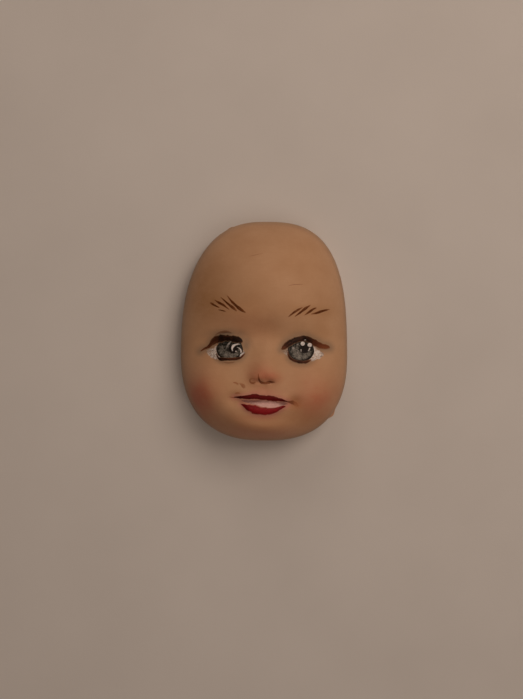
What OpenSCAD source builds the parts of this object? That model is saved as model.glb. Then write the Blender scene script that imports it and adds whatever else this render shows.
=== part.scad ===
// Hand-painted doll face: one solid flat-backed clay casting, with each layer of paint as a thin solid.
// Frame: the face lies on its back. +X is the viewer's right, +Y runs up to the crown and +Z points out
// of the face. The origin is the middle of the flat back. "Left" and "right" are the viewer's.

/* [Casting] */
// Width of the casting at its widest
face_w = 41.6; // [38:0.2:46]
// Height of the casting from the chin to the crown
face_h = 55; // [50:0.5:60]
// Height of the dome above the back, without the features
dome_z = 19; // [16:0.1:22]
// How blunt the dome is at the crown: 2 is an ellipsoid
dome_power = 1.8; // [1.6:0.05:2.6]
// How much blunter it is at the jaw
jaw_fullness = 0.6; // [0:0.05:0.8]
// Height of the casting's widest line above the back, at mid height
rim_z = 6; // [4:0.1:7]
// How much that line rises towards the chin and falls towards the crown
rim_rise = 3; // [0:0.1:3]
// Mean inset of the back's edge from the widest line
back_inset = 1.4; // [1.3:0.1:2.5]
// How far the side walls lean towards the lower left
back_lean = 0.9; // [0:0.1:0.9]

/* [Features] */
// How strongly the features stand out
relief_gain = 1; // [0.5:0.05:1.2]
// Clockwise tilt of the features on the casting, in degrees
face_tilt = 2; // [0:0.5:4]
// Distance from the midline to the centre of an eyeball
eye_x = 8.4; // [8:0.1:9]
// Height of the eye line on the casting
eye_y = -5; // [-6:0.1:-4]

/* [Paint] */
// Thickness of a full brush stroke at its crown
paint_t = 0.12; // [0.08:0.01:0.2]
// How deep a stroke is keyed into the clay's surface
paint_key = 0.1; // [0.05:0.01:0.15]

/* [Colours] */
// Colour of the bare clay
clay_colour = "#cba17e"; // ["#cba17e":tan, "#e3bfa0":pale, "#8d5f41":brown]

/* [Hidden] */

half_w = face_w / 2;
half_h = face_h / 2;
widest_y = -5;               // the outline is an egg, widest below the middle
// Bluntness of the outline's four corners: upper right, upper left, lower left, lower right
corner = [2.9, 2.4, 2.45, 2.55];
mid_x = 0.4;                 // the features' midline at the height of the eyes
nose_tip = [-0.1, -10.5];    // where the casting's rays start
ray_count = 96;
ring_count = 30;
wall_rings = 5;

// Heights over the clay at which the painted layers of an eye start
iris_lift = 0.07;
pupil_lift = 0.12;
highlight_lift = 0.15;

// ---- The clay surface, as a height over the back ----

function smooth(a, b, x) = let (t = min(max((x - a) / (b - a), 0), 1)) t * t * (3 - 2 * t);
function ridge(d, s) = exp(-pow(d / s, 2) / 2);
function bump(x, y, cx, cy, sx, sy) = ridge(x - cx, sx) * ridge(y - cy, sy);

// 0 at the centre of the outline and 1 on it. dx and dy are measured from that centre.
function reach(dx, dy) =
    let (
        n = corner[dx >= 0 ? (dy >= 0 ? 0 : 3) : (dy >= 0 ? 1 : 2)],
        h = dy >= 0 ? half_h - widest_y : half_h + widest_y
    )
    pow(pow(abs(dx) / half_w, n) + pow(abs(dy) / h, n), 1 / n);
function outline(angle) =
    let (d = [cos(angle), sin(angle)]) [0, widest_y] + d / reach(d.x, d.y);
function rim_height(y) = rim_z - rim_rise * y / half_h;

// Place in the tilted frame of the features, where the face is symmetric
function across(x, y) = (x - mid_x) * cos(face_tilt) - (y - eye_y) * sin(face_tilt);
function up(x, y) = (x - mid_x) * sin(face_tilt) + (y - eye_y) * cos(face_tilt) + eye_y;

function brow_relief(u, v) =
    3.2 * bump(u, v, 0, 10.5, 8.5, 9)                   // forehead
    + 0.5 * bump(abs(u), v, 8, 3.2, 4.5, 1.8)           // brow ridges
    - 1.35 * bump(u, v, 0, -2.2, 3.4, 2.5);             // root of the nose
function eye_relief(a, v) =
    let (
        ball = 1 - pow((a - eye_x) / 4.7, 2) - pow((v - eye_y) / 3.8, 2),
        lid = eye_y + 3.5 * (1 - pow((a - eye_x) / 5.4, 2)),
        bag = eye_y - 3.4 * (1 - pow((a - eye_x) / 4.8, 2))
    )
    -0.8 * bump(a, v, 7.8, -4, 4, 2.8)                  // sockets
    + 0.7 * smooth(-0.35, 1.15, ball)                     // eyeballs
    - 0.12 * ridge(v - lid, 0.5) * ridge(a - eye_x, 2.6)
    + 0.08 * ridge(v - bag, 0.55) * ridge(a - eye_x, 2.4);
function nose_relief(u, v) =
    0.7 * ridge(u, 2.4) * smooth(1, -6, v) * smooth(-14.5, -9.5, v)
    + 1.15 * bump(u, v, 0, -10.4, 2.1, 1.8)              // tip
    + 0.5 * bump(abs(u), v, 2.1, -11.4, 1.1, 0.9)       // wings
    - 0.4 * bump(abs(u), v, 1.3, -12.6, 0.6, 0.35);     // nostrils
function mouth_relief(u, v) =
    let (
        a = abs(u),
        upper = -16.1 - 0.012 * u * u,
        lower = -19.3 + 0.06 * u * u,
        width = smooth(7, 4.5, a)
    )
    2.9 * bump(u, v, 0, -19.6, 8, 4.6)                  // muzzle
    - 0.15 * bump(u, v, 0, -14.5, 0.7, 1)               // groove under the nose
    + 0.35 * ridge(v - upper, 0.65) * width
    + 0.5 * ridge(v - lower, 0.9) * smooth(5.8, 3.5, a)
    - 0.3 * ridge(v + 17.5, 0.6) * width
    - 0.6 * bump(a, v, 7.1, -16.9, 1.2, 1);             // corners
function cheek_relief(u, v) =
    2.2 * bump(abs(u), v, 13, -15.3, 4.1, 4.1)
    + 3.6 * bump(u, v, 0, -24.4, 6, 2)                  // chin
    + bump(u, v, -7.4, -21.4, 3.2, 2);              // fold beside it
function relief(u, v) = relief_gain * (
    brow_relief(u, v) + eye_relief(abs(u), v) + nose_relief(u, v) + mouth_relief(u, v)
    + cheek_relief(u, v));

// Height of the clay over the back at a place inside the outline
function skin(x, y) =
    let (
        r = min(reach(x, y - widest_y), 1),
        rim = rim_height(y),
        power = dome_power + jaw_fullness * smooth(-2, -18, y),
        dome = sqrt(max(1 - pow(r, power), 0))
    )
    rim + (dome_z - rim) * dome + relief(across(x, y), up(x, y)) * (1 - pow(r, 8));

// One closed ring of the dome: share 0 is the tip of the nose and 1 the outline
function dome_ring(share) = [
    for (i = [0 : ray_count - 1])
        let (p = nose_tip + share * (outline(360 * i / ray_count) - nose_tip))
        [p.x, p.y, share < 1 ? skin(p.x, p.y) : rim_height(p.y)]
];
// One closed ring of the side wall: drop 0 is the widest line and 1 the back
function wall_ring(drop) = [
    for (i = [0 : ray_count - 1])
        let (
            angle = 360 * i / ray_count,
            edge = outline(angle),
            inset = back_inset - back_lean * (cos(angle) + sin(angle)),
            p = edge * (1 - inset * pow(drop, 2.2) / norm(edge))
        )
        [p.x, p.y, rim_height(edge.y) * (1 - drop)]
];

// Skins a stack of rings of equally many points. Fans about a middle point close the first and the last.
module skinned(rings, first_mid, last_mid) {
    n = len(rings[0]);
    m = len(rings);
    points = concat([for (r = rings) each r], [first_mid, last_mid]);
    walls = [
        for (k = [0 : m - 2], i = [0 : n - 1])
            let (a = k * n, j = (i + 1) % n)
            each [[a + i, a + j, a + n + j], [a + i, a + n + j, a + n + i]]
    ];
    caps = [
        for (i = [0 : n - 1])
            let (j = (i + 1) % n, a = (m - 1) * n)
            each [[m * n, j, i], [m * n + 1, a + i, a + j]]
    ];
    polyhedron(points, concat(walls, caps), convexity = 6);
}

module clay_face() {
    wall = [for (k = [1 : wall_rings]) wall_ring(1 - (k - 1) / wall_rings)];
    dome = [for (k = [0 : ring_count - 1]) dome_ring(pow(sin(90 * (ring_count - k) / ring_count), 0.9))];
    top = [nose_tip.x, nose_tip.y, skin(nose_tip.x, nose_tip.y)];
    color(clay_colour) skinned(concat(wall, dome), [0, 0, 0], top);
}

// ---- Paint: brush strokes and round dabs that follow the clay ----

// Smooth curve between b and c, with a and d as the points before and after them
function curve(a, b, c, d, t) =
    0.5 * (2 * b + (c - a) * t + (2 * a - 5 * b + 4 * c - d) * t * t + (3 * b - a - 3 * c + d) * t * t * t);
// Point [x, y, half width] at share s of a smooth curve through the points p
function along(p, s) =
    let (n = len(p) - 1, k = min(floor(s * n), n - 1), t = s * n - k)
    curve(p[max(k - 1, 0)], p[k], p[k + 1], p[min(k + 2, n)], t);

// Cross section of a stroke, as [place across it, share of its thickness]: crowned on top, keyed in below
stroke_section = [[-1, 0.1], [-0.6, 0.8], [0, 1], [0.6, 0.8], [1, 0.1], [0.7, -1], [-0.7, -1]];
least_half_w = 0.04;
overpaint = 0.015;
steps_per_span = 4;

function section_height(share, lift, t) = lift + (share > 0 ? share * t : -paint_key);
function stroke_ring(p, s, lift, t) =
    let (
        here = along(p, s),
        d = along(p, min(s + 0.01, 1)) - along(p, max(s - 0.01, 0)),
        side = [-d.y, d.x] / norm([d.x, d.y]),
        w = max(here.z, least_half_w)
    )
    [
        for (q = stroke_section)
            let (x = here.x - side.x * w * q[0], y = here.y - side.y * w * q[0])
            [x, y, skin(x, y) + section_height(q[1], lift, t)]
    ];
function middle(ring) = [for (k = [0 : 2]) [for (p = ring) p[k]] * [for (p = ring) 1] / len(ring)];

// Brush stroke through points [x, y, half width]
module stroke(p, lift = 0, t = paint_t) {
    m = steps_per_span * (len(p) - 1);
    rings = [for (i = [0 : m]) stroke_ring(p, i / m, lift, t)];
    skinned(rings, middle(rings[0]), middle(rings[m]));
}

// Round dab of paint, as [x, y, radius across, radius up]
module dab(d, lift = 0, t = paint_t, rings = 3, sides = 20) {
    function ring(share, h) = [
        for (i = [0 : sides - 1])
            let (
                angle = 360 * i / sides,
                x = d[0] + d[2] * share * cos(angle),
                y = d[1] + d[3] * share * sin(angle)
            )
            [x, y, skin(x, y) + h]
    ];
    base = [for (k = [1 : rings]) ring(k / rings, lift - paint_key)];
    crown = [for (k = [0 : rings - 1]) ring(1 - k / rings, lift + t * (1 - 0.8 * pow(1 - k / rings, 4)))];
    z = skin(d[0], d[1]) + lift;
    skinned(concat(base, crown), [d[0], d[1], z - paint_key], [d[0], d[1], z + t]);
}

// A set of strokes, each painted over the ones before it
module strokes(list, lift = 0, t = paint_t) {
    for (i = [0 : len(list) - 1]) stroke(list[i], lift + i * overpaint, t);
}
module dabs(list, lift = 0, t = paint_t) {
    for (d = list) dab(d, lift, t, 2, 12);
}

// Eyes
white_left = [[-13.8, -5.4, 0.1], [-12.7, -5.7, 0.9], [-11.4, -5.8, 1.5], [-9.5, -5.2, 2.1],
    [-7.5, -5, 2.2], [-5.8, -5.4, 1.2], [-4.4, -5.7, 0.12]];
white_right = [[4, -5.4, 0.1], [5.4, -5.7, 0.8], [7.2, -5.5, 2], [9.2, -5.4, 2.2], [11, -5.9, 1.9],
    [12.8, -6.2, 1.15], [13.9, -6.1, 0.75], [14.4, -6, 0.12]];
iris_disc_left = [-8.1, -4.9, 3.1, 2.6];
iris_disc_right = [8.6, -5.2, 3.1, 2.6];
pupil_disc_left = [-7.2, -4.9, 1.2, 1.1];
pupil_disc_right = [9.4, -4.9, 1.35, 1.1];

streaks_left = [
    [[-7.7, -3.1, 0.19], [-8.2, -3.7, 0.23], [-8.6, -4.2, 0.21], [-8.9, -4.8, 0.09]],
    [[-7.4, -5.5, 0.14], [-7.5, -4.9, 0.28], [-7.2, -4.3, 0.44], [-6.7, -3.9, 0.26], [-6, -3.8, 0.19],
        [-5.5, -3.9, 0.09]],
    [[-6.4, -4.5, 0.09], [-5.9, -4.7, 0.16], [-5.5, -5.1, 0.21], [-5.4, -5.6, 0.19], [-5.4, -6.1, 0.09]],
    [[-4.5, -5.7, 0.09], [-5, -6, 0.19], [-5.4, -6.3, 0.21], [-5.7, -6.8, 0.12]]
];
dots_left = [[-6.6, -5.5, 0.19, 0.16]];
streaks_right = [[[10.7, -4.7, 0.2], [10.6, -5, 0.2], [10.3, -5.5, 0.12]]];
dots_right = [[9, -3.7, 0.54, 0.54], [10.7, -4, 0.59, 0.54], [7.8, -3.9, 0.23, 0.19],
    [6.8, -4.8, 0.35, 0.28], [7.8, -5.8, 0.19, 0.19], [8.6, -5.3, 0.16, 0.33], [9.6, -2.8, 0.33, 0.16]];

upper_lid_left = [[-15.2, -5.5, 0.14], [-14.3, -4.9, 0.21], [-13.2, -4.4, 0.36], [-12.3, -3.5, 0.69],
    [-11.4, -2.8, 0.94], [-10.1, -2.5, 0.94], [-8.9, -2.4, 0.75], [-7.8, -2.5, 0.77], [-6.6, -2.7, 0.89],
    [-5.6, -3, 0.61], [-5.1, -3.5, 0.16]];
lid_crease_left = [[-11.6, -1.7, 0.09], [-10.6, -1.1, 0.2], [-9.4, -0.9, 0.28], [-8.5, -0.9, 0.26],
    [-7.5, -1.2, 0.12]];
upper_lid_right = [[4, -5.1, 0.12], [4.7, -4.4, 0.49], [5.4, -3.8, 0.61], [6.4, -3.2, 0.65],
    [7.4, -2.8, 0.68], [8.6, -2.5, 0.68], [9.8, -2.5, 0.66], [11, -2.9, 0.68], [12.2, -3.6, 0.78],
    [13.5, -4.2, 0.74], [14.6, -4.4, 0.62], [15.3, -4.5, 0.41], [15.8, -4.7, 0.1]];
lower_lid_left = [[-11.2, -5.9, 0.09], [-10.9, -6.8, 0.22], [-10.2, -7.3, 0.36], [-9.3, -7.3, 0.36],
    [-8.2, -7.3, 0.34], [-7, -7.25, 0.33], [-6, -7.1, 0.3], [-5.2, -6.7, 0.24], [-4.4, -5.9, 0.11]];
lower_line_left = [[-9.5, -8, 0.07], [-8.4, -8.15, 0.14], [-7.5, -8.1, 0.15], [-6.7, -7.9, 0.07]];
lower_lid_right = [[5.5, -5.4, 0.09], [5.6, -6.3, 0.18], [6.1, -7.1, 0.27], [6.9, -7.6, 0.32],
    [8, -7.9, 0.36], [9.1, -8, 0.34], [10, -7.9, 0.32], [11.1, -7.4, 0.12]];

// Brows, one stroke for each hair
brow_left = [
    [[-12.9, 6.1, 0.14], [-12.1, 5.6, 0.26], [-11.2, 5.1, 0.22], [-10.4, 4.7, 0.08]],
    [[-11.8, 6.7, 0.09], [-10.7, 6, 0.27], [-9.5, 5.3, 0.26], [-8.1, 4.2, 0.09]],
    [[-10.3, 7.3, 0.07], [-9.3, 6.4, 0.2], [-8.2, 5.4, 0.28], [-7.2, 4.6, 0.32], [-6.3, 3.8, 0.14]],
    [[-8.7, 7.6, 0.08], [-7.6, 6.2, 0.26], [-6.5, 5.1, 0.32], [-5.3, 4.1, 0.36], [-4.2, 3.4, 0.1]],
    [[-10.9, 4.3, 0.06], [-10, 4.1, 0.13], [-8.9, 3.8, 0.06]]
];
brow_right = [
    [[5.5, 2.4, 0.1], [6.6, 3.3, 0.26], [7.8, 4.1, 0.26], [9, 4.8, 0.08]],
    [[7, 2.5, 0.08], [8.2, 3.4, 0.24], [9.6, 4.5, 0.3], [10.9, 5.4, 0.1]],
    [[9.3, 2.9, 0.08], [10.5, 3.7, 0.26], [11.5, 4.4, 0.24], [12.4, 4.8, 0.08]],
    [[10.9, 3.2, 0.08], [12.4, 3.55, 0.26], [13.9, 4.1, 0.28], [15.8, 4.6, 0.08]]
];

// Nose and mouth
nostrils = [
    [[-2, -11.9, 0.08], [-2.7, -11.7, 0.16], [-3.3, -12.1, 0.2], [-3.1, -12.7, 0.22], [-2.4, -12.8, 0.24],
        [-1.9, -12.4, 0.1]],
    [[-1.4, -10.5, 0.09], [-1.3, -11.4, 0.18], [-1.1, -12.2, 0.25], [-0.6, -12.7, 0.3], [0.3, -12.8, 0.3],
        [1.2, -12.6, 0.35], [1.8, -12.6, 0.23], [2.6, -12.6, 0.07]]
];
lip_upper = [[-7.1, -16.1, 0.08], [-6, -16.1, 0.24], [-4.9, -16.05, 0.38], [-3.7, -16.05, 0.47],
    [-2.6, -15.9, 0.64], [-1.8, -15.9, 0.69], [-0.9, -16.1, 0.56], [0.4, -16.2, 0.58], [1.5, -16.3, 0.6],
    [2.7, -16.5, 0.52], [3.9, -16.7, 0.36], [4.8, -16.95, 0.18], [5.5, -17.1, 0.07]];
teeth_band = [[-5.3, -16.9, 0.09], [-4.2, -17, 0.32], [-2.8, -17.2, 0.51], [-1.4, -17.4, 0.67],
    [0.2, -17.6, 0.85], [1.8, -17.7, 0.83], [3.4, -17.7, 0.6], [4.6, -17.6, 0.42], [5.5, -17.7, 0.12]];
lip_lower = [[-5.4, -17.7, 0.09], [-4.6, -18, 0.37], [-3.8, -18.4, 0.67], [-2.8, -18.7, 0.9],
    [-1.9, -19, 1.06], [-1, -19.2, 0.97], [0.2, -19.3, 0.9], [1.3, -19.3, 0.83], [2.4, -19.1, 0.67],
    [3.4, -18.7, 0.44], [4.4, -18.3, 0.26], [5, -18.3, 0.07]];
mouth_corners = [
    [[-8.2, -16, 0.07], [-7.4, -16.2, 0.14], [-6.6, -16.2, 0.16]],
    [[4.9, -17, 0.12], [5.8, -17.2, 0.3], [6.7, -17.4, 0.46], [7.5, -17.9, 0.36], [8.1, -18.4, 0.1]],
    [[-6.9, -15.3, 0.08], [-6.2, -15.1, 0.24], [-5.4, -15.2, 0.1]]
];
stray_marks = [
    [[-7.3, -12.8, 0.09], [-6.6, -12.8, 0.14], [-5.9, -13.2, 0.12]],
    [[-5.6, -12.9, 0.1], [-4.9, -13.5, 0.37], [-4.7, -14, 0.14]],
    [[5.6, 9.7, 0.05], [6.9, 10, 0.09], [9.1, 10.2, 0.07]],
    [[-3.7, 16.9, 0.05], [-2.2, 17.2, 0.08], [-0.2, 17.7, 0.05]]
];

module eye_white(p) { color("#d8cdc4") stroke(p, 0, 0.07); }
module iris(d) { color("#5c6468") dab(d, iris_lift, 0.05); }
// Dark brush line round the iris, from one angle to another and thickest half way
module iris_rim(d, from, to) {
    spans = 8;
    path = [
        for (k = [0 : spans])
            let (
                angle = from + (to - from) * k / spans,
                w = 0.08 + 0.16 * sin(180 * k / spans)
            )
            [d[0] + (d[2] - 0.1) * cos(angle), d[1] + (d[3] - 0.1) * sin(angle), w]
    ];
    color("#2b2a2a") stroke(path, iris_lift, 0.09);
}
module pupil(d) { color("#14110f") dab(d, pupil_lift, 0.04, 2, 16); }
module highlights(streaks, dots) {
    color("#f2ece6") {
        strokes(streaks, highlight_lift, 0.1);
        dabs(dots, highlight_lift, 0.1);
    }
}
module dark_lines(list) { color("#2a1712") strokes(list, 0, 1.8 * paint_t); }
module brow_hairs(list) { color("#5a2c14") strokes(list); }
module brown_strokes(list) { color("#5e2f1c") strokes(list, 0, 0.08); }
module upper_lip() { color("#5c0b0d") stroke(lip_upper); }
module teeth() { color("#cfa9a0") stroke(teeth_band, 0, 0.07); }
module lower_lip() { color("#a01820") stroke(lip_lower); }

clay_face();
eye_white(white_left);  // eye_white_left
eye_white(white_right);  // eye_white_right
iris(iris_disc_left);  // iris_left
iris(iris_disc_right);  // iris_right
iris_rim(iris_disc_left, 150, 390);  // iris_rim_left
iris_rim(iris_disc_right, 140, 400);  // iris_rim_right
pupil(pupil_disc_left);  // pupil_left
pupil(pupil_disc_right);  // pupil_right
highlights(streaks_left, dots_left);  // eye_highlights_left
highlights(streaks_right, dots_right);  // eye_highlights_right
dark_lines([upper_lid_left, lid_crease_left]);  // upper_lid_line_left
dark_lines([upper_lid_right]);  // upper_lid_line_right
dark_lines([lower_lid_left, lower_line_left]);  // lower_lid_line_left
dark_lines([lower_lid_right]);  // lower_lid_line_right
brow_hairs(brow_left);  // brow_hairs_left
brow_hairs(brow_right);  // brow_hairs_right
brown_strokes(nostrils);  // nostril_strokes
upper_lip();
teeth();
lower_lip();
brown_strokes(mouth_corners);  // mouth_corner_strokes
brown_strokes(stray_marks);  // stray_paint_marks
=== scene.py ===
import itertools
import math

import bpy
import numpy as np
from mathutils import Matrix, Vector


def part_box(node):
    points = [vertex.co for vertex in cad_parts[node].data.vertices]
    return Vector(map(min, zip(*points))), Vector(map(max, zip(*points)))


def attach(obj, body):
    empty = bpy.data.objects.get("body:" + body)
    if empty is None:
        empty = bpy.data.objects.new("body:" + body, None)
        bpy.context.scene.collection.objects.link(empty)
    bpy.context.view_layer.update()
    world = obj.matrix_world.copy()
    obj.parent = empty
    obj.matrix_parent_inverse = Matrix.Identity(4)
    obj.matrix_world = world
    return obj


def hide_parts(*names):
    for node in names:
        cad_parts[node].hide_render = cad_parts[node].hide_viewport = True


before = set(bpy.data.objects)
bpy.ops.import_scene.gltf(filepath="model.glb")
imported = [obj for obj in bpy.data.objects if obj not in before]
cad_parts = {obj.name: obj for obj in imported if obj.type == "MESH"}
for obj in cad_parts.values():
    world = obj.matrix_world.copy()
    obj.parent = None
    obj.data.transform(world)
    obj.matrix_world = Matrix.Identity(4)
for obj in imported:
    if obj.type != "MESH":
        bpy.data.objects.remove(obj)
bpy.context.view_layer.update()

MM = 0.001                    # shapes below are in millimetres, and meshes are written in metres

# ---------------------------------------------------------------------------------------------
# Camera: straight down on the face, close up
# ---------------------------------------------------------------------------------------------
CAMERA_AT = (-0.63, -5.06, 176.0)
SENSOR = 36.0
LENS = 34.8
NEAREST = 1.0


def make_camera():
    data = bpy.data.cameras.new("camera")
    data.sensor_width = SENSOR
    data.lens = LENS
    data.clip_start = NEAREST * MM
    camera = bpy.data.objects.new("camera", data)
    camera.location = [c * MM for c in CAMERA_AT]
    bpy.context.collection.objects.link(camera)
    bpy.context.scene.camera = camera


make_camera()

# ---------------------------------------------------------------------------------------------
# The clay surface, as in the CAD model
# ---------------------------------------------------------------------------------------------
low, high = (np.array(c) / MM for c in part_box("clay_face"))
HALF_W = (high[0] - low[0]) / 2
HALF_H = (high[1] - low[1]) / 2
DOME_Z, DOME_POWER, JAW_FULLNESS = 19.0, 1.8, 0.6
RIM_Z, RIM_RISE = 6.0, 3.0
BACK_INSET, BACK_LEAN = 1.4, 0.9
WIDEST_Y = -5.0
CORNER = (2.9, 2.4, 2.45, 2.55)         # upper right, upper left, lower left, lower right
EYE_X, EYE_Y, MID_X = 8.4, -5.0, 0.4
TILT = math.radians(2)
NOSE_TIP = (-0.1, -10.5)


def smooth(a, b, x):
    t = np.clip((x - a) / (b - a), 0, 1)
    return t * t * (3 - 2 * t)


def ridge(d, s):
    return np.exp(-(d / s) ** 2 / 2)


def bump(x, y, cx, cy, sx, sy):
    return ridge(x - cx, sx) * ridge(y - cy, sy)


def reach(dx, dy):
    """0 at the centre of the outline and 1 on it."""
    right, above = dx >= 0, dy >= 0
    power = np.where(right, np.where(above, CORNER[0], CORNER[3]), np.where(above, CORNER[1], CORNER[2]))
    half = np.where(above, HALF_H - WIDEST_Y, HALF_H + WIDEST_Y)
    return (np.abs(dx / HALF_W) ** power + np.abs(dy / half) ** power) ** (1 / power)


def outline(angle):
    c, s = np.cos(angle), np.sin(angle)
    r = reach(c, s)
    return c / r, WIDEST_Y + s / r


def rim_height(y):
    return RIM_Z - RIM_RISE * y / HALF_H


def brow_relief(u, v):
    forehead = 3.2 * bump(u, v, 0, 10.5, 8.5, 9)
    ridges = 0.5 * bump(np.abs(u), v, 8, 3.2, 4.5, 1.8)
    return forehead + ridges - 1.35 * bump(u, v, 0, -2.2, 3.4, 2.5)


def eye_relief(a, v):
    ball = 1 - ((a - EYE_X) / 4.7) ** 2 - ((v - EYE_Y) / 3.8) ** 2
    lid = EYE_Y + 3.5 * (1 - ((a - EYE_X) / 5.4) ** 2)
    bag = EYE_Y - 3.4 * (1 - ((a - EYE_X) / 4.8) ** 2)
    z = -0.8 * bump(a, v, 7.8, -4, 4, 2.8) + 0.7 * smooth(-0.35, 1.15, ball)
    z -= 0.12 * ridge(v - lid, 0.5) * ridge(a - EYE_X, 2.6)
    return z + 0.08 * ridge(v - bag, 0.55) * ridge(a - EYE_X, 2.4)


def nose_relief(u, v):
    a = np.abs(u)
    z = 0.7 * ridge(u, 2.4) * smooth(1, -6, v) * smooth(-14.5, -9.5, v)
    z += 1.15 * bump(u, v, 0, -10.4, 2.1, 1.8) + 0.5 * bump(a, v, 2.1, -11.4, 1.1, 0.9)
    return z - 0.4 * bump(a, v, 1.3, -12.6, 0.6, 0.35)


def mouth_relief(u, v):
    a = np.abs(u)
    upper = -16.1 - 0.012 * u * u
    lower = -19.3 + 0.06 * u * u
    width = smooth(7, 4.5, a)
    z = 2.9 * bump(u, v, 0, -19.6, 8, 4.6) - 0.15 * bump(u, v, 0, -14.5, 0.7, 1)
    z += 0.35 * ridge(v - upper, 0.65) * width + 0.5 * ridge(v - lower, 0.9) * smooth(5.8, 3.5, a)
    return z - 0.3 * ridge(v + 17.5, 0.6) * width - 0.6 * bump(a, v, 7.1, -16.9, 1.2, 1)


def cheek_relief(u, v):
    z = 2.2 * bump(np.abs(u), v, 13, -15.3, 4.1, 4.1) + 3.6 * bump(u, v, 0, -24.4, 6, 2.0)
    return z + bump(u, v, -7.4, -21.4, 3.2, 2)


def skin(x, y):
    """Height of the smooth clay over the back."""
    dx, dy = x - MID_X, y - EYE_Y
    u = dx * math.cos(TILT) - dy * math.sin(TILT)
    v = dx * math.sin(TILT) + dy * math.cos(TILT) + EYE_Y
    relief = brow_relief(u, v) + eye_relief(np.abs(u), v) + nose_relief(u, v)
    relief = relief + mouth_relief(u, v) + cheek_relief(u, v)
    r = np.minimum(reach(x, y - WIDEST_Y), 1)
    rim = rim_height(y)
    power = DOME_POWER + JAW_FULLNESS * smooth(-2, -18, y)
    dome = np.sqrt(np.maximum(1 - r ** power, 0))
    return rim + (DOME_Z - rim) * dome + relief * (1 - r ** 8)


# ---------------------------------------------------------------------------------------------
# Fine relief: what fingers and a modelling tool leave in soft clay
# ---------------------------------------------------------------------------------------------
CELLS = 32
GRAIN = np.random.default_rng(11).uniform(-1, 1, (CELLS, CELLS, CELLS))


def noise(p, size, shift=0.0):
    """Smooth noise from -1 to 1 at points p, with lumps about size mm across."""
    q = p / size + shift
    cell = np.floor(q).astype(int)
    t = q - cell
    t = t * t * (3 - 2 * t)
    total = 0
    for corner in itertools.product((0, 1), repeat=3):
        weight = np.prod(np.where(corner, t, 1 - t), axis=-1)
        i = (cell + corner) % CELLS
        total = total + weight * GRAIN[i[..., 0], i[..., 1], i[..., 2]]
    return total


def points(x, y, z):
    return np.stack(np.broadcast_arrays(x, y, z), axis=-1).astype(float)


def hand_marks(p):
    """Height of the uneven surface over the smooth one, which nearly all of it lies under."""
    lumps = 0.04 * noise(p, 6.0) + 0.014 * noise(p, 2.1, 5.3) + 0.004 * noise(p, 0.8, 9.1)
    return lumps - 0.05


def face_z(x, y):
    """Height of the clay with its fine relief."""
    z = skin(x, y)
    return z + hand_marks(points(x, y, z))


# ---------------------------------------------------------------------------------------------
# Brush strokes: [x, y, half width, tone, cover]. Tone runs from a paint's light colour (0) to its
# dark one (1), and cover from a bare trace (0) to a full load (1).
# ---------------------------------------------------------------------------------------------
WHITE_LEFT = [[-13.8, -5.4, 0.1, 0.7, 0.3], [-12.7, -5.7, 0.9, 0.35, 0.85], [-11.4, -5.9, 1.5, 0.3, 0.95],
              [-9.5, -5.2, 2.1, 0.6, 0.9], [-7.5, -5.0, 2.2, 0.6, 0.8], [-5.8, -5.4, 1.2, 0.7, 0.7],
              [-4.4, -5.7, 0.12, 0.9, 0.3]]
WHITE_RIGHT = [[4.0, -5.4, 0.1, 0.8, 0.3], [5.4, -5.7, 0.8, 0.75, 0.6], [7.2, -5.5, 2.0, 0.6, 0.8],
               [9.2, -5.4, 2.2, 0.5, 0.9], [11.0, -6.0, 1.8, 0.2, 1.0], [12.8, -6.25, 1.05, 0.0, 1.0],
               [13.7, -6.2, 0.6, 0.4, 0.7], [14.3, -6.1, 0.1, 0.6, 0.3]]
IRIS_LEFT = (-8.1, -4.9, 3.1, 2.6)
IRIS_RIGHT = (8.6, -5.2, 3.1, 2.6)
PUPIL_LEFT = (-7.2, -4.9, 1.2, 1.1)
PUPIL_RIGHT = (9.4, -4.9, 1.35, 1.1)

STREAKS_LEFT = [
    [[-7.7, -3.1, 0.15, 0.8, 0.5], [-8.2, -3.7, 0.19, 0.7, 0.7], [-8.6, -4.2, 0.17, 0.8, 0.6],
     [-8.9, -4.8, 0.08, 0.9, 0.2]],
    [[-7.3, -5.5, 0.1, 0.5, 0.6], [-7.5, -4.9, 0.2, 0.2, 1.0], [-7.25, -4.3, 0.36, 0.0, 1.0],
     [-6.7, -3.95, 0.2, 0.2, 1.0], [-6.0, -3.8, 0.14, 0.4, 0.8], [-5.5, -3.9, 0.07, 0.6, 0.3]],
    [[-6.4, -4.5, 0.07, 0.6, 0.4], [-5.9, -4.7, 0.12, 0.4, 0.8], [-5.5, -5.1, 0.17, 0.3, 0.9],
     [-5.4, -5.6, 0.15, 0.2, 0.9], [-5.4, -6.1, 0.07, 0.5, 0.4]],
    [[-4.5, -5.7, 0.08, 0.5, 0.4], [-5.0, -6.0, 0.17, 0.2, 1.0], [-5.4, -6.3, 0.19, 0.2, 1.0],
     [-5.7, -6.8, 0.1, 0.5, 0.6]],
]
DOTS_LEFT = [(-6.6, -5.5, 0.19, 0.16, 0.3)]
STREAKS_RIGHT = [[[10.7, -4.6, 0.16, 0.3, 0.9], [10.6, -5.0, 0.17, 0.4, 0.9], [10.3, -5.5, 0.1, 0.5, 0.6]]]
DOTS_RIGHT = [(9.0, -3.7, 0.52, 0.5, 0.15), (10.7, -4.0, 0.56, 0.5, 0.15), (7.8, -3.9, 0.23, 0.19, 0.7),
              (6.8, -4.8, 0.35, 0.28, 0.8), (7.8, -5.8, 0.19, 0.19, 0.8), (8.6, -5.3, 0.16, 0.33, 0.7),
              (9.6, -2.8, 0.33, 0.16, 0.8)]

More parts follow.
